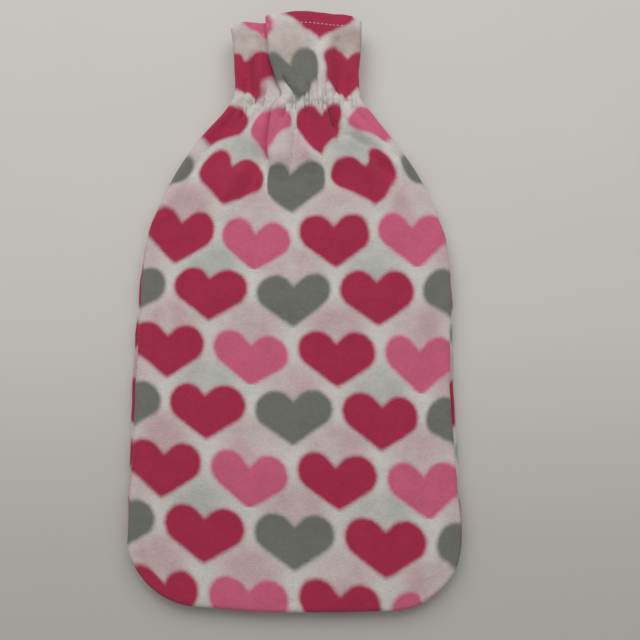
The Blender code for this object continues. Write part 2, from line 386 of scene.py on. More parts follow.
def bowed(x, y, half_width):
    """Distance from the bottom with the bottom edge's swell, drawn up a little on the left."""
    drawn_up = DRAWN_UP * ease((-x - DRAWN_UP_FROM) / DRAWN_UP_OVER)
    return y + (BOTTOM_BOW * (x / half_width) ** 2 + drawn_up) * (1 - ease(y / BOTTOM_REACH))


ELASTIC = 318.0  # the elastic's distance from the bottom, at the middle of the neck
ELASTIC_RISE = 2.0  # how much farther it is at the neck's sides
NECK_HALF_WIDTH = 40
GATHERS_ABOVE = 17.0  # how far the gathers reach from the elastic
GATHERS_BELOW = 13.0
FINE_GATHERS = (Wave(1.4, 3.1, 2.1, 9), Wave(1.6, 8.3, 4.2, 7))
TUCK_HEIGHT = 0.5
TUCK_TURN = 2.4  # radians to a millimetre across, so a tuck about every 2.6 mm
TUCK_WANDER = Wave(5, 6.6, 7)
TUCK_REACH = 7
PINCH = 0.8  # how deep the elastic's own line presses in
PINCH_REACH = 2.8


def gathers(x, along, deep):
    """Small uneven puckers on both sides of the elastic."""
    from_line = along - ELASTIC - ELASTIC_RISE * (x / NECK_HALF_WIDTH) ** 2
    reach = GATHERS_ABOVE if from_line > 0 else GATHERS_BELOW
    if abs(from_line) >= reach:
        return 0.0
    fine = sum(wave(kind, x, along) for kind in FINE_GATHERS)
    tucks = TUCK_HEIGHT * math.sin(TUCK_TURN * x + wave(TUCK_WANDER, x, 0)) * bump(from_line / TUCK_REACH)
    pinch = PINCH * bump(from_line / PINCH_REACH)
    return deep * (fine * bump(from_line / reach) + tucks) - pinch


FRILL_ROOT = 335  # from here up the frill's own shape takes over
EDGE_DROP = 1.0  # of the frill's whole top edge
CORNER_DROP = 4.6  # more at its very corners
CORNER_FROM = 0.78


def frill(along):
    """0 at the frill's root and 1 at its top edge."""
    return ease((along - FRILL_ROOT) / (LENGTH - FRILL_ROOT))


def corner_drop(share):
    """How far the frill's top edge falls, most at its rounded corners."""
    return EDGE_DROP + CORNER_DROP * max((abs(share) - CORNER_FROM) / (1 - CORNER_FROM), 0.0) ** 2.6


# Filled out, the long sides draw in towards the middle, the front more than the
# back, so that a little of the back shows. A minus draws out.
DrawnIn = namedtuple("DrawnIn", "side along reach front back")
DRAWN_IN = (
    DrawnIn(1, 125, 95, 4.8, 2.6),
    DrawnIn(-1, 140, 130, 1.7, -0.7),
)
DRAWN_FROM = 0.55  # share of the half width where it starts to be felt
SIDE_WAVER = Wave(0.9, 2.2, 16)


def side_shift(share, along, y, panel):
    """How far a point moves across as its panel's sides draw in and waver."""
    shift = wave(SIDE_WAVER, 0, y) * share ** 4
    for side in DRAWN_IN:
        near = bump((along - side.along) / side.reach)
        edge = ease((side.side * share - DRAWN_FROM) / (1 - DRAWN_FROM))
        shift -= side.side * getattr(side, panel) * near * edge
    return shift


# How far in from the seam each part of the shape is felt in full.
EDGE_ROUNDING = 40.0  # the front's rise to its full height
SAG_FADE = 20
BACK_FLAT_FROM = 16  # the back lies flat from here
FOLD_FADE = 10
GATHER_FADE = 8
HEM_OUT_FADE = 6
CREASE_FADE = 5

FRONT_GATHERS = 10  # ripples across the width at the elastic, as in the CAD panels
BACK_GATHERS = 7
RIPPLE_SHARE = 0.4  # how much of the CAD front's ripple the finer gathers leave
RIPPLE_START = 0.8
CREASE_DEPTH = 1.35
UNEVEN = (Wave(1.5, 1.7, 55), Wave(0.7, 5.2, 21))
SEAM_PUCKER = Wave(0.5, 9.4, 7)
PUCKER_FROM_SEAM = 3
PUCKER_BREADTH = 6
LEFT_DROP = 5.0  # of the front's top edge left of the pleat
RIGHT_DROP = 2.2  # and just right of it
RIGHT_DROP_OVER = 0.4  # share of the half width over which that dies out
HEM_SAG = 1.6
HEM_SAG_FROM = 350


def front_point(share, row, depth):
    """A point of the front panel's middle surface."""
    half_width = row.half_width
    x, step = row.across(share)
    x, y, inside = round_corner(x, row.along, half_width)
    edge = row.seam + SEAM_LIFT
    rounded = ease(inside / min(EDGE_ROUNDING, half_width))
    pleat_clear = 1 - bump((share - (PLEAT_FROM + PLEAT_TO) / 2) / PLEAT_REACH)
    ripple = math.cos(FRONT_GATHERS * math.pi * share + RIPPLE_START)
    z = edge + (row.front - edge) * rounded + step
    clear = ease(inside / FOLD_FADE)
    z += RIPPLE_SHARE * row.gather * ripple * pleat_clear * ease(inside / GATHER_FADE)
    z += fold_height(BROAD_FOLDS, x, y) * clear
    creased = CREASE_DEPTH * fold_height(CREASES, x, y) + gathers(x, y, depth)
    z += creased * pleat_clear * ease(inside / CREASE_FADE)
    z += sum(wave(kind, x, y) for kind in UNEVEN) * clear
    # The sewn edge puckers a little between its stitches.
    z += wave(SEAM_PUCKER, x, y) * bump((inside - PUCKER_FROM_SEAM) / PUCKER_BREADTH)
    left = 1 - ease((share - PLEAT_FROM) / (PLEAT_TO - PLEAT_FROM))
    drop = LEFT_DROP * left + RIGHT_DROP * (1 - left) * (1 - ease((share - PLEAT_TO) / RIGHT_DROP_OVER))
    drop += corner_drop(share) + HEM_STANDS_OUT * ease(inside / HEM_OUT_FADE)
    y -= drop * frill(row.along)
    # The stitched edge is heavier and sags a little.
    z -= HEM_SAG * ease((row.along - HEM_SAG_FROM) / (LENGTH - HEM_SAG_FROM)) * ease(inside / SAG_FADE)
    x += side_shift(share, row.along, y, "front")
    return Vector((x, bowed(x, y, half_width), z)), inside


BACK_NARROWS_FROM = 285  # where the back stops standing past the front
BACK_NARROWS_OVER = 30
BACK_GATHER_DEPTH = 0.8
BACK_DROP = 3.2  # of the back's top edge
BACK_LEFT_DROP = 2.5  # more at its left
BACK_LEFT_FROM = 0.1  # shares of the half width over which that sets in
BACK_LEFT_OVER = 0.6


def back_point(share, row, depth):
    """A point of the back panel's middle surface, flat on the resting plane under the body."""
    shows = 1 - ease((row.along - BACK_NARROWS_FROM) / BACK_NARROWS_OVER)
    half_width = row.half_width + BACK_SHOWS * shows
    x, y, inside = round_corner(half_width * share, row.along, half_width)
    edge = row.seam - SEAM_LIFT
    ripple = row.gather * (1 - math.cos(BACK_GATHERS * math.pi * share)) / 2
    flat = ease(inside / BACK_FLAT_FROM)
    z = REST + (max(edge, REST) - REST) * (1 - flat)
    z += ripple * ease(inside / GATHER_FADE)
    z += FRILL_LIFT * ease((row.along - NECK) / (LENGTH - NECK)) * flat
    z += abs(gathers(x, y, depth)) * BACK_GATHER_DEPTH * ease(inside / GATHER_FADE)
    drop = BACK_DROP + BACK_LEFT_DROP * ease((BACK_LEFT_FROM - share) / BACK_LEFT_OVER) + corner_drop(share)
    y -= drop * frill(row.along)
    x += side_shift(share, row.along, y, "back")
    return Vector((x, bowed(x, y, half_width), z)), inside


RISE_REACH = 60  # how far from the middle the rows' ends have risen in full
RIGHT_EDGE_RISE = 2.8  # of the rows where the cloth turns down to the side seams
LEFT_EDGE_RISE = 1.4
TURNS_DOWN_FROM = 78
TURNS_DOWN_OVER = 18
PLEAT_PARTS_FROM = 245  # from here up the pleat parts the cloth on its two sides
PLEAT_PARTS_OVER = 12
RIGHT_OF_PLEAT = -16  # slips placed past here belong to the cloth right of the pleat
RIGHT_SLIPS_FROM = 0.4  # where they fade, as shares of the pleat's cloth
LEFT_SLIPS_TO = 0.05
SLIPS_FADE = 0.3


def front_cloth(share, row, point):
    """Place on the flat cloth of a point of the front, in millimetres."""
    x, y = point.x, point.y - LENGTH / 2
    across = row.cloth_across(share)
    lift = row.flat.rise * ease(abs(x) / RISE_REACH)
    edge_rise = RIGHT_EDGE_RISE if x > 0 else LEFT_EDGE_RISE
    lift += edge_rise * ease((abs(x) - TURNS_DOWN_FROM) / TURNS_DOWN_OVER)
    place = (share - PLEAT_FROM) / (PLEAT_TO - PLEAT_FROM)
    on_right = ease((place - RIGHT_SLIPS_FROM) / SLIPS_FADE)
    on_left = 1 - ease((place - LEFT_SLIPS_TO) / SLIPS_FADE)
    joined = 1 - ease((row.along - PLEAT_PARTS_FROM) / PLEAT_PARTS_OVER)
    for slip in SLIPS:
        near = bump(math.hypot(x - slip.x, row.along - slip.along) / slip.breadth)
        near *= max(on_right if slip.x > RIGHT_OF_PLEAT else on_left, joined)
        lift += slip.rise * near
        across -= slip.aside * near
    return across, y + math.tan(math.radians(row.flat.slope)) * x - lift


def back_cloth(share, row, point):
    """Place on the flat cloth of a point of the back."""
    half = (row.flat.right - row.flat.left) / 2
    return half * share + BACK_ASIDE, point.y - LENGTH / 2 + BACK_ALONG


def rows_of(bands):
    """Distances from the bottom of a panel's rows."""
    found = [INSET]
    for end, count in bands:
        start = found[-1]
        found += [start + (end - start) * (n + 1) / count for n in range(count)]
    return found


def columns_of(counts):
    """Shares of the half width of the front panel's columns, closest in the pleat."""
    found = [-1.0]
    for end, count in zip((PLEAT_FROM, PLEAT_TO, 1.0), counts):
        start = found[-1]
        found += [start + (end - start) * (n + 1) / count for n in range(count)]
    return found


PRINT_UNIT = 100.0  # millimetres of flat cloth in one unit of the print map


class Sheet:
    """The points, print places, layer weights and faces of one sheet of cloth."""

    def __init__(self):
        self.points, self.cloth, self.full, self.faces = [], [], [], []

    def add(self, point, cloth, full=1.0):
        self.points.append(Vector(point))
        self.cloth.append(cloth)
        self.full.append(full)
        return len(self.points) - 1

    def bridge(self, before, after):
        """Faces between two lines of points."""
        for k in range(len(before) - 1):
            self.faces.append((before[k], before[k + 1], after[k + 1], after[k]))

    def mesh(self, name, flip):
        """The sheet as a mesh with its print map, its faces turned over if flip."""
        mesh = bpy.data.meshes.new(name)
        faces = [face[::-1] for face in self.faces] if flip else self.faces
        shift = Vector((0, -LENGTH / 2, 0))
        mesh.from_pydata([(point + shift) * MM for point in self.points], [], faces)
        layer = mesh.uv_layers.new(name="flat_cloth")
        for loop in mesh.loops:
            layer.data[loop.index].uv = [value / PRINT_UNIT for value in self.cloth[loop.vertex_index]]
        mesh.update()
        mesh.shade_smooth()
        return mesh


def panel_sheet(point_of, cloth_of, columns, rows, up, depth):
    """A panel: the grid, its edges rolled round the seam, and the frill's edge turned in.

    up is the way in: 1 for the back panel and -1 for the front one.
    """
    sheet = Sheet()
    grid, insides = [], []
    for row in rows:
        line, inside_line = [], []
        for share in columns:
            point, inside = point_of(share, row, depth)
            line.append(sheet.add(point, cloth_of(share, row, point)))
            inside_line.append(inside)
        grid.append(line)
        insides.append(inside_line)
    for before, after in zip(grid, grid[1:]):
        sheet.bridge(before, after)
    ways_in = []
    for j, row in enumerate(rows):
        hemmed = row.along > LENGTH - HEM_BAND
        ways_in.append([way_in(sheet, grid, i, j, up) for i in range(len(columns))] if hemmed else None)
    turn_hem(sheet, grid, insides, ways_in, rows)
    roll_rim(sheet, grid, up)
    return sheet


def way_in(sheet, grid, i, j, up):
    """Direction from the sheet towards the inside of the pouch."""
    line = grid[j]
    side = sheet.points[line[min(i + 1, len(line) - 1)]] - sheet.points[line[max(i - 1, 0)]]
    along = sheet.points[grid[min(j + 1, len(grid) - 1)][i]] - sheet.points[grid[max(j - 1, 0)][i]]
    return side.cross(along).normalized() * up


def turn_hem(sheet, grid, insides, ways_in, rows):
    """The frill's top edge turned in: the outer layer stands off and the turned one lies under it."""
    flat_points = {}
    for j, row in enumerate(rows):
        if ways_in[j] is None:
            continue
        hem = ease((row.along - (LENGTH - HEM_TURNED - HEM_RISE)) / HEM_RISE)
        for i, vert in enumerate(grid[j]):
            flat_points[vert] = sheet.points[vert].copy()
            thick = hem * ease(insides[j][i] / HEM_FADE)
            sheet.points[vert] = sheet.points[vert] - ways_in[j][i] * (HEM_RADIUS * thick)
            sheet.full[vert] = 1 - thick
    top = len(grid) - 1
    kept = [i for i in range(len(grid[top])) if insides[top][i] > HEM_FROM_SEAM]
    before = [grid[top][i] for i in kept]
    for n in range(TURN_STEPS):
        turn = math.pi * (n + 1) / TURN_STEPS
        after = []
        for i in kept:
            vert = grid[top][i]
            in_way = ways_in[top][i]
            place = sheet.points[vert] + in_way * HEM_RADIUS * (1 - math.cos(turn))
            place.y += HEM_RADIUS * math.sin(turn)
            across, along = sheet.cloth[vert]
            after.append(sheet.add(place, (across, along + HEM_RADIUS * turn), 0.0))
        sheet.bridge(before, after)
        before = after
    below = [j for j in range(top - 1, -1, -1) if rows[j].along >= LENGTH - HEM_TURNED]
    for j in below:
        after = []
        for i in kept:
            vert = grid[j][i]
            place = flat_points[vert] + ways_in[j][i] * HEM_RADIUS
            across, along = sheet.cloth[grid[top][i]]
            after.append(sheet.add(place, (across, along + LENGTH - rows[j].along + TURNED_PRINT), 0.0))
        sheet.bridge(before, after)
        before = after


def roll_rim(sheet, grid, up):
    """Both sides and the bottom rolled round the seam, then the allowance inside."""
    rim = [line[0] for line in reversed(grid)]
    rim += grid[0][1:-1]
    rim += [line[-1] for line in grid]
    ways_out = []
    for n, vert in enumerate(rim):
        run = sheet.points[rim[min(n + 1, len(rim) - 1)]] - sheet.points[rim[max(n - 1, 0)]]
        ways_out.append(Vector((run.y, -run.x, 0)).normalized())
    steps = []
    for n in range(ROLL_STEPS):
        turn = math.pi * (n + 1) / ROLL_STEPS
        steps.append((ROLL * math.sin(turn), ROLL * (1 - math.cos(turn)), ROLL * turn))
    for n in range(ALLOWANCE_STEPS):
        inward = ALLOWANCE * (n + 1) / ALLOWANCE_STEPS
        steps.append((-inward, 2 * ROLL, ROLL * math.pi + inward))
    before = rim
    for out, rise, cloth in steps:
        after = []
        for vert, way in zip(rim, ways_out):
            place = sheet.points[vert] + way * out
            place.z += up * rise
            across, along = sheet.cloth[vert]
            after.append(sheet.add(place, (across + way.x * cloth, along + way.y * cloth)))
        sheet.bridge(after, before)
        before = after


def srgb(code):
    """A #rrggbb colour as linear red, green and blue."""
    parts = [int(code[k : k + 2], 16) / 255 for k in (1, 3, 5)]
    return tuple(c / 12.92 if c <= 0.04045 else ((c + 0.055) / 1.055) ** 2.4 for c in parts)


def add_node(tree, kind, *feeds, out=0, **settings):
    """A shader node with its settings, fed in the order of its live sockets.

    A feed is a number, a colour, another node's output, or None to leave a socket
    as it is. Returns the output asked for.
    """
    node = tree.nodes.new("ShaderNode" + kind)
    for name, value in settings.items():
        setattr(node, name, value)
    for socket, value in zip([socket for socket in node.inputs if socket.enabled], feeds):
        if isinstance(value, bpy.types.NodeSocket):
            tree.links.new(value, socket)
        elif value is not None:
            socket.default_value = (*value[:3], 1.0) if socket.type == "RGBA" else value
    return [socket for socket in node.outputs if socket.enabled][out]


# The print, in millimetres of flat cloth. Rows of hearts lie half a heart's
# pitch out of step with each other; the rows are grey and crimson in turn, then
# crimson and pink.
PITCH = 53.4
ROW_PITCH = 36.9
FIRST_ACROSS = -1.5
FIRST_ALONG = -3.0
PINK_DROP = 2.0  # the pink hearts are printed a little low
CRIMSON_RISE = 0.5  # the crimson ones a little high, and a little larger
CRIMSON_SPREAD = 0.4
LEAN_CHANCE = 0.10  # each heart leans by its own chance over this range of slopes
LEAN = -0.07  # that starts from this one
GREY_LEAN = 0.05  # the grey ones lean this much more
COLOUR_LEAN = -0.07  # and the coloured ones this much less than those
LOBE = 11.0  # radius of each of a heart's round lobes
LOBE_ASIDE = 12.2  # how far a lobe's centre is from the heart's middle line
LOBE_LIFT = 4.4  # and how far above the middle of its height
NOTCH = 7.4  # where the lobes' inner sides meet above
TIP = -17.3  # where the two straight sides would meet below
SOFT_TIP = 1.0  # how far the tip and the notch are rounded
DYE_ENDS = 1.8  # how far outside a heart's line its dye still shows
DYE_FULL = -1.5  # and how far inside it is full
HALO = 3.4  # breadth of the pale tint round a heart
HALO_SHARE = 0.45
SHOW_THROUGH = 20.0  # how far along the other face's print is out of step
GHOST_SQUASH = 1.25  # its blurs are this much shorter than wide
GHOST_ENDS = 27.0
GHOST_FULL = 8.0
GHOST_CLEAR = 3.0  # they are faint this near to the elastic
GHOST_FAR = 13.0  # and as strong as elsewhere from here
FRILL_SHADE_FROM = 138.0  # along the cloth, where they change to the frill's brownish painted shade
FRILL_SHADE_TO = 152.0


def print_cell(tree, across, along):
    """The heart that a point of the cloth belongs to: place from its middle, row and column."""
    x = add_node(tree, "Math", across, FIRST_ACROSS, operation="SUBTRACT")
    y = add_node(tree, "Math", along, FIRST_ALONG, operation="SUBTRACT")
    rows_up = add_node(tree, "Math", y, ROW_PITCH, operation="DIVIDE")
    row = add_node(tree, "Math", rows_up, operation="ROUND")
    odd_row = add_node(tree, "Math", row, 2.0, operation="FLOORED_MODULO")
    x = add_node(tree, "Math", odd_row, -PITCH / 2, x, operation="MULTIPLY_ADD")
    columns_over = add_node(tree, "Math", x, PITCH, operation="DIVIDE")
    column = add_node(tree, "Math", columns_over, operation="ROUND")
    odd_column = add_node(tree, "Math", column, 2.0, operation="FLOORED_MODULO")
    x = add_node(tree, "Math", column, -PITCH, x, operation="MULTIPLY_ADD")
    y = add_node(tree, "Math", row, -ROW_PITCH, y, operation="MULTIPLY_ADD")
    return x, y, row, column, odd_row, odd_column


def leaning(tree, x, y, row, column, coloured):
    """Height in a heart once its lean is taken out, since no two hearts sit quite alike."""
    cell = add_node(tree, "CombineXYZ", column, row, 0.5)
    chance = add_node(tree, "TexWhiteNoise", cell, noise_dimensions="3D")
    lean = add_node(tree, "Math", chance, LEAN_CHANCE, LEAN, operation="MULTIPLY_ADD")
    by_colour = add_node(tree, "Math", coloured, COLOUR_LEAN, GREY_LEAN, operation="MULTIPLY_ADD")
    lean = add_node(tree, "Math", lean, by_colour, operation="ADD")
    tilted = add_node(tree, "Math", x, lean, operation="MULTIPLY")
    return add_node(tree, "Math", y, tilted, operation="SUBTRACT")


def heart_edge(tree, x, y, row, column, odd_row, odd_column):
    """How far a point is outside its heart: two round lobes over two straight sides."""
    coloured = add_node(tree, "Math", odd_row, odd_column, operation="MAXIMUM")
    pink = add_node(tree, "Math", odd_row, odd_column, operation="MULTIPLY")
    crimson = add_node(tree, "Math", coloured, pink, operation="SUBTRACT")
    y = add_node(tree, "Math", crimson, -CRIMSON_RISE, y, operation="MULTIPLY_ADD")
    y = add_node(tree, "Math", pink, PINK_DROP, y, operation="MULTIPLY_ADD")
    y = leaning(tree, x, y, row, column, coloured)
    square = add_node(tree, "Math", x, x, SOFT_TIP ** 2, operation="MULTIPLY_ADD")
    aside = add_node(tree, "Math", square, operation="SQRT")
    from_lobe = add_node(tree, "Math", aside, LOBE_ASIDE, operation="SUBTRACT")
    over_lobe = add_node(tree, "Math", y, LOBE_LIFT, operation="SUBTRACT")
    over_square = add_node(tree, "Math", over_lobe, over_lobe, operation="MULTIPLY")
    square = add_node(tree, "Math", from_lobe, from_lobe, over_square, operation="MULTIPLY_ADD")
    from_centre = add_node(tree, "Math", square, operation="SQRT")
    round_part = add_node(tree, "Math", from_centre, LOBE, operation="SUBTRACT")
    # The rest lies between the lines that run from the tip and the notch to touch the lobes.
    below, beyond = touching_line(tree, aside, y, TIP, -1)
    above, above_beyond = touching_line(tree, aside, y, NOTCH, 1)
    beyond = add_node(tree, "Math", beyond, above_beyond, operation="MAXIMUM")
    wedge = add_node(tree, "Math", below, above, operation="MAXIMUM")
    wedge = add_node(tree, "Math", wedge, beyond, operation="MAXIMUM")
    edge = add_node(tree, "Math", round_part, wedge, operation="MINIMUM")
    return add_node(tree, "Math", crimson, -CRIMSON_SPREAD, edge, operation="MULTIPLY_ADD")


def touching_line(tree, aside, y, corner, up):
    """The line from a corner on the heart's middle line that touches its lobe.

    Gives how far a point is outside the line, and how far past the lobe's centre
    along it. up is 1 for the notch's line and -1 for the tip's.
    """
    reach = math.hypot(LOBE_ASIDE, LOBE_LIFT - corner)
    slant = math.atan2(LOBE_LIFT - corner, LOBE_ASIDE) + up * math.asin(LOBE / reach)
    run, rise = math.cos(slant), math.sin(slant)
    over = add_node(tree, "Math", y, corner, operation="SUBTRACT")
    outside = add_node(tree, "Math", over, up * run, operation="MULTIPLY")
    outside = add_node(tree, "Math", aside, -up * rise, outside, operation="MULTIPLY_ADD")
    centre = run * LOBE_ASIDE + rise * (LOBE_LIFT - corner)
    past = add_node(tree, "Math", over, rise, -centre, operation="MULTIPLY_ADD")
    past = add_node(tree, "Math", aside, run, past, operation="MULTIPLY_ADD")
    return outside, past


SMOOTH = {"interpolation_type": "SMOOTHSTEP"}

# Patterns of the fleece, as how many there are to a metre, or to 100 mm of flat cloth.
FLECKS = 1500.0  # one about every 0.7 mm, where a fibre catches or misses the dye
MOTTLES = 380.0  # about every 2.6 mm
CLOUDS = 90.0  # about every 11 mm, from wear
TUFTS = 900.0  # about every 1.1 mm, a little coarser than real so that they show
NAP = 260.0  # about every 4 mm, where the pile lies another way
CREEP = (26.0, 110.0)  # about every 4 mm and 0.9 mm, where the dye has run
GHOST_PATCHES = 3.2  # about every 30 mm, where the other face shows more or less
PILE_HEIGHT = 0.9 * MM
THREAD_TWISTS = 700.0  # about every 1.4 mm
TWIST_HEIGHT = 0.1 * MM


def crept_place(tree, uv):
    """Place on the flat cloth in millimetres, as the fibres drag the dye's edges about."""
    place = add_node(tree, "VectorMath", uv, PRINT_UNIT, operation="SCALE")
    middle, in_plane = (0.5, 0.5, 0.0), (1.0, 1.0, 0.0)
    for scale in CREEP:
        crept = add_node(tree, "TexNoise", uv, scale, 2.0, 0.6, out=1)
        crept = add_node(tree, "VectorMath", crept, middle, operation="SUBTRACT")
        place = add_node(tree, "VectorMath", crept, in_plane, place, operation="MULTIPLY_ADD")
    across = add_node(tree, "SeparateXYZ", place)
    return across, across.node.outputs[1]


def heart_colour(tree, odd_row, odd_column, colours):
    """The dye of a point's heart, by its row and column."""
    first = add_node(tree, "Mix", odd_column, colours.grey, colours.crimson, data_type="RGBA")
    second = add_node(tree, "Mix", odd_column, colours.crimson, colours.pink, data_type="RGBA")
    return add_node(tree, "Mix", odd_row, first, second, data_type="RGBA")


def ground_colour(tree, uv, across, along, colours):
    """Undyed fleece, with the other face's print showing through as faint uneven blurs; over the frill the blurs
    take a brownish painted shade instead.
    """
    behind = add_node(tree, "Math", along, SHOW_THROUGH, operation="SUBTRACT")
    x, y, _, _, odd_row, odd_column = print_cell(tree, across, behind)
    y = add_node(tree, "Math", y, GHOST_SQUASH, operation="MULTIPLY")
    square = add_node(tree, "Math", y, y, operation="MULTIPLY")
    square = add_node(tree, "Math", x, x, square, operation="MULTIPLY_ADD")
    spread = add_node(tree, "Math", square, operation="SQRT")
    patches = add_node(tree, "TexNoise", uv, GHOST_PATCHES, 2.0, 0.5)
    strength = add_node(tree, "MapRange", patches, 0.32, 0.66, 0.45, 1.0, **SMOOTH)
    blur = add_node(tree, "MapRange", spread, GHOST_ENDS, GHOST_FULL, 0.0, 1.0, **SMOOTH)
    shown = add_node(tree, "Math", blur, strength, operation="MULTIPLY")
    from_elastic = add_node(tree, "Math", along, NECK - LENGTH / 2, operation="SUBTRACT")
    from_elastic = add_node(tree, "Math", from_elastic, operation="ABSOLUTE")
    clear = add_node(tree, "MapRange", from_elastic, GHOST_CLEAR, GHOST_FAR, 0.2, 1.0, **SMOOTH)
    shown = add_node(tree, "Math", shown, clear, operation="MULTIPLY")
    pink, grey = colours.through_pink, colours.through_grey
    through = add_node(tree, "Mix", odd_column, pink, grey, data_type="RGBA")
    through = add_node(tree, "Mix", odd_row, through, pink, data_type="RGBA")
    # Over the frill the blurs are painted shade: a brownish tint that darkens the frill, not the other face's
    # print.
    on_frill = add_node(tree, "MapRange", along, FRILL_SHADE_FROM, FRILL_SHADE_TO, 0.0, 1.0, **SMOOTH)
    through = add_node(tree, "Mix", on_frill, through, colours.frill_painted_shade, data_type="RGBA")
    return add_node(tree, "Mix", shown, colours.ground, through, data_type="RGBA")


def fibre_tone(tree, place):
    """Flecks where single fibres catch or miss the dye, with broad uneven wear, as a grey."""
    fleck = add_node(tree, "TexNoise", place, FLECKS, 2.0, 0.7)
    cloud = add_node(tree, "TexNoise", place, CLOUDS, 3.0, 0.55)
    mottle = add_node(tree, "TexNoise", place, MOTTLES, 2.0, 0.6)
    tone = add_node(tree, "Math", cloud, 0.26, 0.62, operation="MULTIPLY_ADD")
    tone = add_node(tree, "Math", fleck, 0.30, tone, operation="MULTIPLY_ADD")
    tone = add_node(tree, "Math", mottle, 0.20, tone, operation="MULTIPLY_ADD")
    return add_node(tree, "CombineColor", tone, tone, tone)


def new_material(name):
    """An empty material, its node tree and its shader."""
    material = bpy.data.materials.new(name)
    material.use_nodes = True
    return material, material.node_tree, material.node_tree.nodes["Principled BSDF"]


FLEECE = "brushed_polar_fleece"


def fleece_material(colours):
    """Polar fleece: knitted polyester, brushed and sheared to a short soft pile, then printed.

    The pile hides the knit, scatters light so that nothing shines, and pales at a
    grazing look; the print's edges are soft because the dye creeps along the fibres.
    """
    material, tree, shader = new_material(FLEECE)
    uv = add_node(tree, "UVMap", uv_map="flat_cloth")
    place = add_node(tree, "TexCoord", out=3)  # object coordinates, in metres
    across, along = crept_place(tree, uv)
    cell = print_cell(tree, across, along)
    outside = heart_edge(tree, *cell)
    dyed = add_node(tree, "MapRange", outside, DYE_ENDS, DYE_FULL, 0.0, 1.0, **SMOOTH)
    halo = add_node(tree, "MapRange", outside, HALO, 0.0, 0.0, HALO_SHARE, **SMOOTH)
    heart = heart_colour(tree, *cell[4:], colours)
    tint = add_node(tree, "Mix", 0.5, heart, colours.ground, data_type="RGBA")
    ground = ground_colour(tree, uv, across, along, colours)
    ground = add_node(tree, "Mix", halo, ground, tint, data_type="RGBA")
    printed = add_node(tree, "Mix", dyed, ground, heart, data_type="RGBA")
    tone = fibre_tone(tree, place)
    colour = add_node(tree, "Mix", 1.0, printed, tone, data_type="RGBA", blend_type="MULTIPLY")
    tree.links.new(colour, shader.inputs["Base Color"])
    shader.inputs["Roughness"].default_value = 0.95
    shader.inputs["Specular IOR Level"].default_value = 0.15
    shader.inputs["Sheen Weight"].default_value = 0.18
    shader.inputs["Sheen Roughness"].default_value = 0.55
    # The pile stands in small tufts, and its nap lies now one way and now another.
    tuft = add_node(tree, "TexNoise", place, TUFTS, 3.0, 0.6)
    nap = add_node(tree, "TexNoise", place, NAP, 2.0, 0.5)
    height = add_node(tree, "Math", nap, 0.8, tuft, operation="MULTIPLY_ADD")
    normal = add_node(tree, "Bump", 0.55, PILE_HEIGHT, None, height)
    tree.links.new(normal, shader.inputs["Normal"])
    return material


def thread_material(colours):
    """Spun polyester sewing thread: white, with a slight sheen, and its twist as fine slanting bumps with painted
    shade in their grooves.
    """
    material, tree, shader = new_material("sewing_thread")
    place = add_node(tree, "TexCoord", out=3)
    twist = add_node(tree, "TexWave", place, THREAD_TWISTS, 1.5, out=1, bands_direction="DIAGONAL")
    # Painted shade: the darker bands stand in for shade in the grooves of the twist.
    shaded = [0.8 * part for part in colours.thread]
    shade = add_node(tree, "Mix", twist, shaded, colours.thread, data_type="RGBA")
    tree.links.new(shade, shader.inputs["Base Color"])
    shader.inputs["Roughness"].default_value = 0.6
    shader.inputs["Sheen Weight"].default_value = 0.2
    normal = add_node(tree, "Bump", 0.3, TWIST_HEIGHT, None, twist)
    tree.links.new(normal, shader.inputs["Normal"])
    return material


FALLOFF_SHADE_FROM = 0.02  # metres along the floor, where its painted shade starts, darkening it towards the front as the lamps' light falls off
FALLOFF_SHADE_TO = -0.20
FALLOFF_SHADE = 0.19


def board_material(colour):
    """Painted board for the stage: matt, faintly mottled, and darker towards the front with painted shade for the
    lamps' falloff.
    """
    material, tree, shader = new_material("painted_board")
    place = add_node(tree, "TexCoord", out=3)
    mottle = add_node(tree, "TexNoise", place, 12.0, 3.0, 0.5)
    worn = [0.97 * part for part in colour]
    shade = add_node(tree, "Mix", mottle, worn, colour, data_type="RGBA")
    # Painted shade: the board darkens towards the front, as the lamps' light falls off.
    along = add_node(tree, "SeparateXYZ", place, out=1)
    falloff_shade = add_node(tree, "MapRange", along, FALLOFF_SHADE_FROM, FALLOFF_SHADE_TO, 0.0, 1.0, **SMOOTH)
    falloff_shade = add_node(tree, "Math", falloff_shade, FALLOFF_SHADE, operation="MULTIPLY")
    shade = add_node(tree, "Mix", falloff_shade, shade, (0.0, 0.0, 0.0), data_type="RGBA")
    tree.links.new(shade, shader.inputs["Base Color"])
    shader.inputs["Roughness"].default_value = 0.7
    shader.inputs["Specular IOR Level"].default_value = 0.2
    return material


class CoverSizes(bpy.types.PropertyGroup):
    """Sizes of the cover that can be changed."""

    gather_depth: FloatProperty(
        name="Gather Depth", description="How deep the puckers at the elastic are, as a factor",
        default=1.3, min=0.0, max=2.0,
    )
    stitch_pitch: FloatProperty(
        name="Stitch Pitch", description="Distance from one hem stitch to the next",
        default=2.7 * MM, min=MM, unit="LENGTH",
    )
    stitch_length: FloatProperty(
        name="Stitch Length", description="Thread that shows in one hem stitch",
        default=1.8 * MM, min=MM, unit="LENGTH",
    )
    thread: FloatProperty(
        name="Thread", description="Diameter of the sewing thread",
        default=0.5 * MM, min=0.1 * MM, unit="LENGTH",
    )
    stitch_depth: FloatProperty(
        name="Stitch Line", description="Distance of the stitches below the frill's top edge",
        default=7.6 * MM, min=3 * MM, unit="LENGTH",
    )


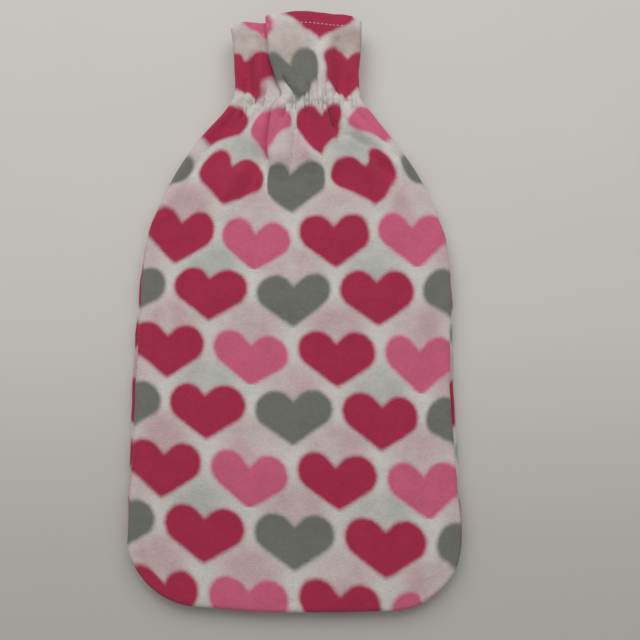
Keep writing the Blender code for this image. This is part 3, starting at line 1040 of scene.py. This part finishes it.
class CoverColours(bpy.types.PropertyGroup):
    """Colours of the cloth, thread and stage."""

    ground: FloatVectorProperty(
        name="Ground", description="Undyed fleece", subtype="COLOR", default=srgb("#e7e3df")
    )
    crimson: FloatVectorProperty(
        name="Crimson", description="Crimson hearts", subtype="COLOR", default=srgb("#ba3355")
    )
    pink: FloatVectorProperty(
        name="Pink", description="Pink hearts", subtype="COLOR", default=srgb("#e16c91")
    )
    grey: FloatVectorProperty(
        name="Grey", description="Grey hearts", subtype="COLOR", default=srgb("#80817c")
    )
    # Painted shade: a brownish tint laid in the frill's blurs to darken it, not print seen through.
    frill_painted_shade: FloatVectorProperty(
        name="Seen Through at the Frill", description="Print on the other face of the frill, seen through",
        subtype="COLOR", default=srgb("#bca79f"),
    )
    through_pink: FloatVectorProperty(
        name="Pink Showing Through", description="Ground over a red or pink heart of the other face",
        subtype="COLOR", default=srgb("#d9bbbd"),
    )
    through_grey: FloatVectorProperty(
        name="Grey Showing Through", description="Ground over a grey heart of the other face",
        subtype="COLOR", default=srgb("#c6c9c5"),
    )
    thread: FloatVectorProperty(
        name="Thread", description="Sewing thread", subtype="COLOR", default=srgb("#f1ecea")
    )
    floor: FloatVectorProperty(
        name="Floor", description="Pale grey-white board", subtype="COLOR", default=srgb("#e6e5e0")
    )


class CoverStage(bpy.types.PropertyGroup):
    """Camera and lights."""

    lens: FloatProperty(name="Lens", description="Focal length in millimetres", default=43.9)
    distance: FloatProperty(
        name="Camera Distance", description="From the camera to what it looks at",
        default=0.4934, unit="LENGTH",
    )
    tilt: FloatProperty(
        name="Camera Tilt", description="Lean from looking straight down",
        default=math.radians(10.39), unit="ROTATION",
    )
    key: FloatProperty(
        name="Key Light", description="Power of the lamp beyond the frill's left, in watts", default=4.25
    )
    fill: FloatProperty(
        name="Fill Light", description="Power of the lamp beyond the frill's right, in watts", default=3.7
    )
    sky: FloatProperty(name="Room Light", description="Strength of the room's own light", default=0.25)


def add_panel(name, mesh, full):
    """The panel's object, made one layer thick, and thinner in each layer of the hem."""
    panel = bpy.data.objects.new(name, mesh)
    bpy.context.scene.collection.objects.link(panel)
    group = panel.vertex_groups.new(name="full layer")
    for index, weight in enumerate(full):
        group.add([index], weight, "REPLACE")
    layer = panel.modifiers.new("one layer", "SOLIDIFY")
    layer.offset = 0
    layer.thickness = CLOTH * MM
    layer.vertex_group = group.name
    layer.thickness_vertex_group = HEM_LAYER / CLOTH
    bpy.ops.object.select_all(action="DESELECT")
    panel.select_set(True)
    bpy.context.view_layer.objects.active = panel
    bpy.ops.object.modifier_apply(modifier=layer.name)
    return panel


def shared_fleece():
    """The fleece material, made once for both panels."""
    return bpy.data.materials.get(FLEECE) or fleece_material(bpy.context.scene.cover_colours)


def panel_rows():
    """Every row of a panel, from the bottom to the frill's top edge."""
    return [Row(along) for along in rows_of(ROWS)]


class COVER_OT_front_panel(bpy.types.Operator):
    """Make the gathered and pleated front panel"""

    bl_idname = "cover.front_panel"
    bl_label = "Front Panel"

    def execute(self, context):
        sizes = context.scene.cover_sizes
        sheet = panel_sheet(
            front_point, front_cloth, columns_of(FRONT_COLUMNS), panel_rows(), -1, sizes.gather_depth
        )
        panel = add_panel("front_sheet", sheet.mesh("front_sheet", False), sheet.full)
        panel.data.materials.append(shared_fleece())
        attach(panel, "root")
        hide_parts("front_panel")
        return {"FINISHED"}


class COVER_OT_back_panel(bpy.types.Operator):
    """Make the back panel, which the cover lies on"""

    bl_idname = "cover.back_panel"
    bl_label = "Back Panel"

    def execute(self, context):
        sizes = context.scene.cover_sizes
        shares = [2 * n / BACK_COLUMNS - 1 for n in range(BACK_COLUMNS + 1)]
        sheet = panel_sheet(back_point, back_cloth, shares, panel_rows(), 1, sizes.gather_depth)
        panel = add_panel("back_sheet", sheet.mesh("back_sheet", True), sheet.full)
        panel.data.materials.append(shared_fleece())
        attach(panel, "root")
        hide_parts("back_panel")
        return {"FINISHED"}


STITCH_DIP = 0.5  # how far a stitch's ends dip into the cloth, in thicknesses of thread


def first_stitch(sizes):
    """One stitch lying along X: thick in the middle, its ends dipping into the cloth."""
    bpy.ops.object.select_all(action="DESELECT")
    bpy.ops.mesh.primitive_uv_sphere_add(segments=8, ring_count=8, radius=0.5, rotation=(0, math.pi / 2, 0))
    stitch = bpy.context.object
    bpy.ops.object.transform_apply(rotation=True)
    for vert in stitch.data.vertices:
        end = abs(vert.co.x) * 2
        vert.co.x *= sizes.stitch_length
        vert.co.y *= sizes.thread
        vert.co.z = vert.co.z * sizes.thread - STITCH_DIP * sizes.thread * end ** 3
    stitch.data.shade_smooth()
    return stitch


STITCHED = 0.93  # share of the half width that the hem's stitching reaches
STITCH_LOOK = 800  # steps in which the hem is measured
THREAD_CLEAR = 0.05  # the thread lies this far off the cloth, in millimetres


def stitch_places(point_of, depth, pitch, below_top, out):
    """Place and direction of each hem stitch, evenly spaced along the cloth of the frill."""
    row = Row(LENGTH - below_top)
    line = []
    for n in range(STITCH_LOOK + 1):
        share = STITCHED * (2 * n / STITCH_LOOK - 1)
        line.append(point_of(share, row, depth)[0])
    places, gone = [], 0.0
    for before, after in zip(line, line[1:]):
        gone += (after - before).length
        if gone >= pitch:
            gone -= pitch
            places.append((before, (after - before).normalized()))
    for place, way in places:
        up = way.cross(Vector((0, 1, 0))).normalized() * out
        yield place + up * (HEM_RADIUS + HEM_LAYER / 2), way, -up if out < 0 else up


class COVER_OT_hem_thread(bpy.types.Operator):
    """Sew the row of stitches that holds the frill's turned edge"""

    bl_idname = "cover.hem_thread"
    bl_label = "Hem Thread"

    def execute(self, context):
        sizes = context.scene.cover_sizes
        model = first_stitch(sizes)
        stitches = []
        for point_of, out in ((front_point, 1), (back_point, -1)):
            spots = stitch_places(
                point_of, sizes.gather_depth, sizes.stitch_pitch / MM, sizes.stitch_depth / MM, out
            )
            for place, way, up in spots:
                stitch = model.copy()
                stitch.data = model.data.copy()
                turn = Vector((1, 0, 0)).rotation_difference(way).to_matrix().to_4x4()
                stitch.matrix_world = turn
                stitch.location = (place + Vector((0, -LENGTH / 2, 0)) + up * THREAD_CLEAR * out) * MM
                bpy.context.scene.collection.objects.link(stitch)
                stitches.append(stitch)
        bpy.data.objects.remove(model, do_unlink=True)
        bpy.ops.object.select_all(action="DESELECT")
        for stitch in stitches:
            stitch.select_set(True)
        context.view_layer.objects.active = stitches[0]
        bpy.ops.object.join()
        thread = context.view_layer.objects.active
        bpy.ops.object.transform_apply()
        thread.name = thread.data.name = "hem_thread"
        thread.data.materials.clear()
        thread.data.materials.append(thread_material(context.scene.cover_colours))
        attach(thread, "root")
        return {"FINISHED"}


LAMP_SIZE = 0.90
LAMP_COLOUR = (1.0, 0.985, 0.955)  # a little warm
ROOM_COLOUR = (1.0, 0.99, 0.98, 1.0)
LOOKED_AT = (15.3 * MM, -15.7 * MM, 8.0 * MM)


def add_lamp(name, place, aim, power):
    """A square soft lamp aimed at a point."""
    bpy.ops.object.light_add(type="AREA", location=place)
    lamp = bpy.context.object
    lamp.name = name
    lamp.data.shape, lamp.data.size = "SQUARE", LAMP_SIZE
    lamp.data.energy, lamp.data.color = power, LAMP_COLOUR
    lamp.rotation_euler = (Vector(aim) - Vector(place)).to_track_quat("-Z", "Y").to_euler()
    return lamp


class COVER_OT_stage(bpy.types.Operator):
    """Lay the floor and set the lamps and camera"""

    bl_idname = "cover.stage"
    bl_label = "Stage"

    def execute(self, context):
        stage, colours = context.scene.cover_stage, context.scene.cover_colours
        bpy.ops.object.select_all(action="DESELECT")
        bpy.ops.mesh.primitive_plane_add(size=6.0)
        floor = context.object
        floor.name = "floor"
        floor.data.materials.append(board_material(colours.floor))
        add_lamp("key_lamp", (-0.42, 0.54, 0.92), (0, 0.05, 0), stage.key)
        add_lamp("fill_lamp", (0.44, 0.56, 0.96), (0, 0.05, 0), stage.fill)
        world = bpy.data.worlds.new("room")
        context.scene.world = world
        world.use_nodes = True
        background = world.node_tree.nodes["Background"]
        background.inputs["Color"].default_value = ROOM_COLOUR
        background.inputs["Strength"].default_value = stage.sky
        back = Vector((0, -math.sin(stage.tilt), math.cos(stage.tilt)))
        bpy.ops.object.camera_add(location=Vector(LOOKED_AT) + back * stage.distance, rotation=(stage.tilt, 0, 0))
        camera = context.object
        camera.data.lens = stage.lens
        camera.data.sensor_width = 36.0
        camera.data.clip_start = 0.01
        context.scene.camera = camera
        context.scene.view_settings.view_transform = "Standard"
        return {"FINISHED"}


class COVER_PT_sidebar(bpy.types.Panel):
    """The steps and sizes of the cover"""

    bl_idname = "COVER_PT_sidebar"
    bl_label = "Hot Water Bottle Cover"
    bl_space_type = "VIEW_3D"
    bl_region_type = "UI"
    bl_category = "Bottle Cover"

    def draw(self, context):
        for step in STEPS:
            self.layout.operator(step.bl_idname)
        for group in (context.scene.cover_sizes, context.scene.cover_colours, context.scene.cover_stage):
            for name in group.__annotations__:
                self.layout.prop(group, name)


STEPS = (COVER_OT_back_panel, COVER_OT_front_panel, COVER_OT_hem_thread, COVER_OT_stage)
GROUPS = {"cover_sizes": CoverSizes, "cover_colours": CoverColours, "cover_stage": CoverStage}


def register():
    for made in (*GROUPS.values(), *STEPS, COVER_PT_sidebar):
        bpy.utils.register_class(made)
    for name, group in GROUPS.items():
        setattr(bpy.types.Scene, name, PointerProperty(type=group))


def unregister():
    for name in GROUPS:
        delattr(bpy.types.Scene, name)
    for made in reversed((*GROUPS.values(), *STEPS, COVER_PT_sidebar)):
        bpy.utils.unregister_class(made)


def main():
    register()
    bpy.ops.cover.back_panel()
    bpy.ops.cover.front_panel()
    bpy.ops.cover.hem_thread()
    bpy.ops.cover.stage()


if __name__ == "__main__":
    main()
